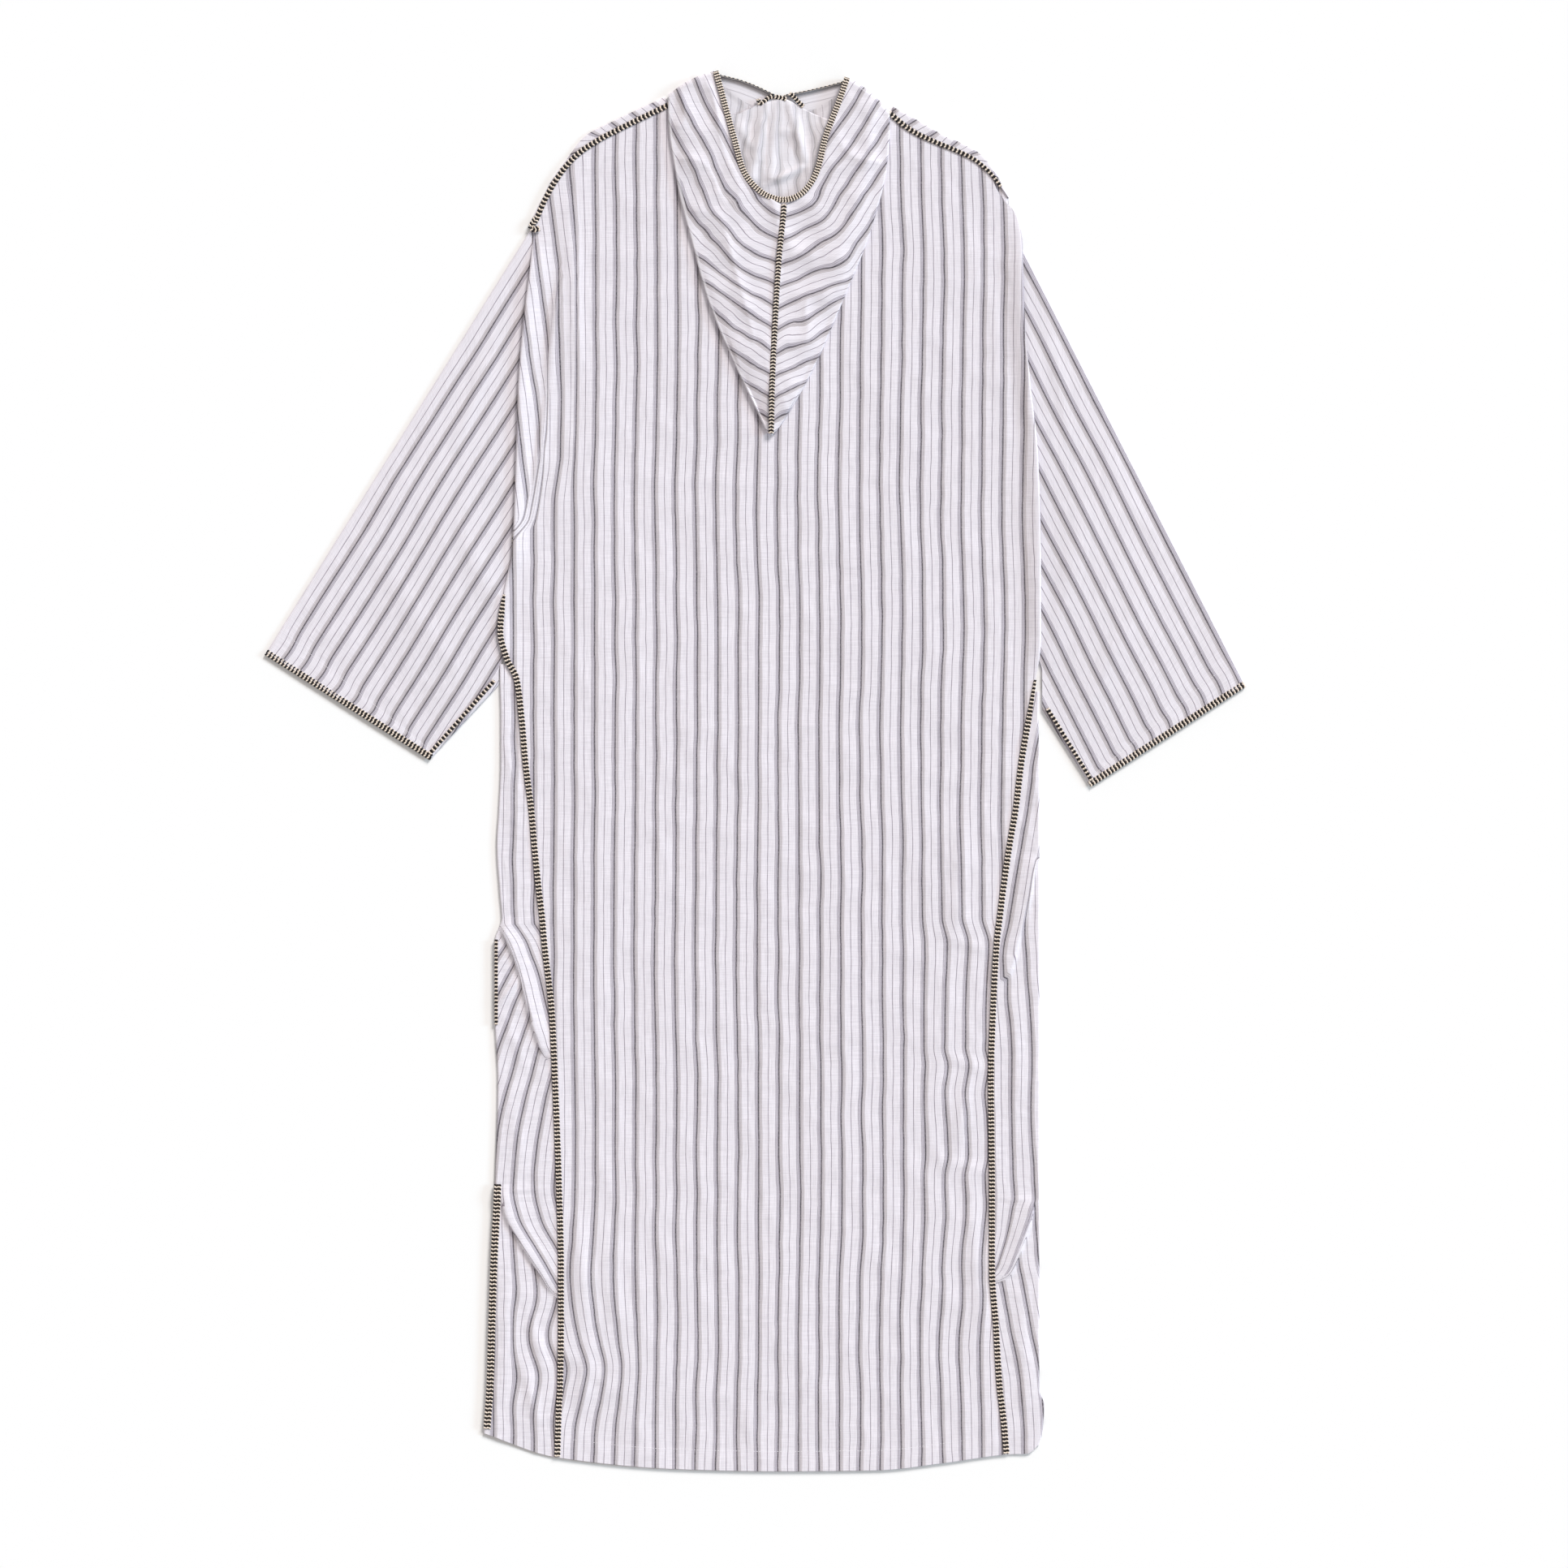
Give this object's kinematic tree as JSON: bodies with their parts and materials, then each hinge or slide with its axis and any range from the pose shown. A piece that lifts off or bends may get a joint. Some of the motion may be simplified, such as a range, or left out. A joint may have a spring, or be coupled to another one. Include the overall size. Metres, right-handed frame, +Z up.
{
  "type": "hooded pullover robe",
  "caption": "Long hooded pullover robe of striped cotton with herringbone braid over its seams, laid flat face down with the empty pointed hood hanging down the back.",
  "frame": {"origin": "centre of the laid robe's outline, on the surface that it rests on", "axes": "+X to the right of the laid robe, which is its wearer's right side because its back is up; +Y from the hem to the neck; +Z up, from the robe's front to its back"},
  "size_m": [0.9918, 1.4148, 0.0095],
  "materials": {
    "striped_cotton": "matt woven cotton with grey stripes",
    "herringbone_braid": "black and cream plaited braid"
  },
  "bodies": {
    "root": {"front_panel": "striped_cotton", "back_panel": "striped_cotton", "hood": "striped_cotton", "gore_left": "striped_cotton", "gore_right": "striped_cotton", "sleeve_left": "striped_cotton", "sleeve_right": "striped_cotton", "braid_mouth": "herringbone_braid", "braid_crown": "herringbone_braid", "braid_neck_left": "herringbone_braid", "braid_neck_right": "herringbone_braid", "braid_shoulder_left": "herringbone_braid", "braid_cuff_left": "herringbone_braid", "braid_underseam_left": "herringbone_braid", "braid_gore_back_left": "herringbone_braid", "braid_gore_front_left": "herringbone_braid", "braid_armhole_left": "herringbone_braid", "braid_shoulder_right": "herringbone_braid", "braid_cuff_right": "herringbone_braid", "braid_underseam_right": "herringbone_braid", "braid_gore_back_right": "herringbone_braid", "braid_gore_front_right": "herringbone_braid", "braid_armhole_right": "herringbone_braid"}
  },
  "joints": []
}
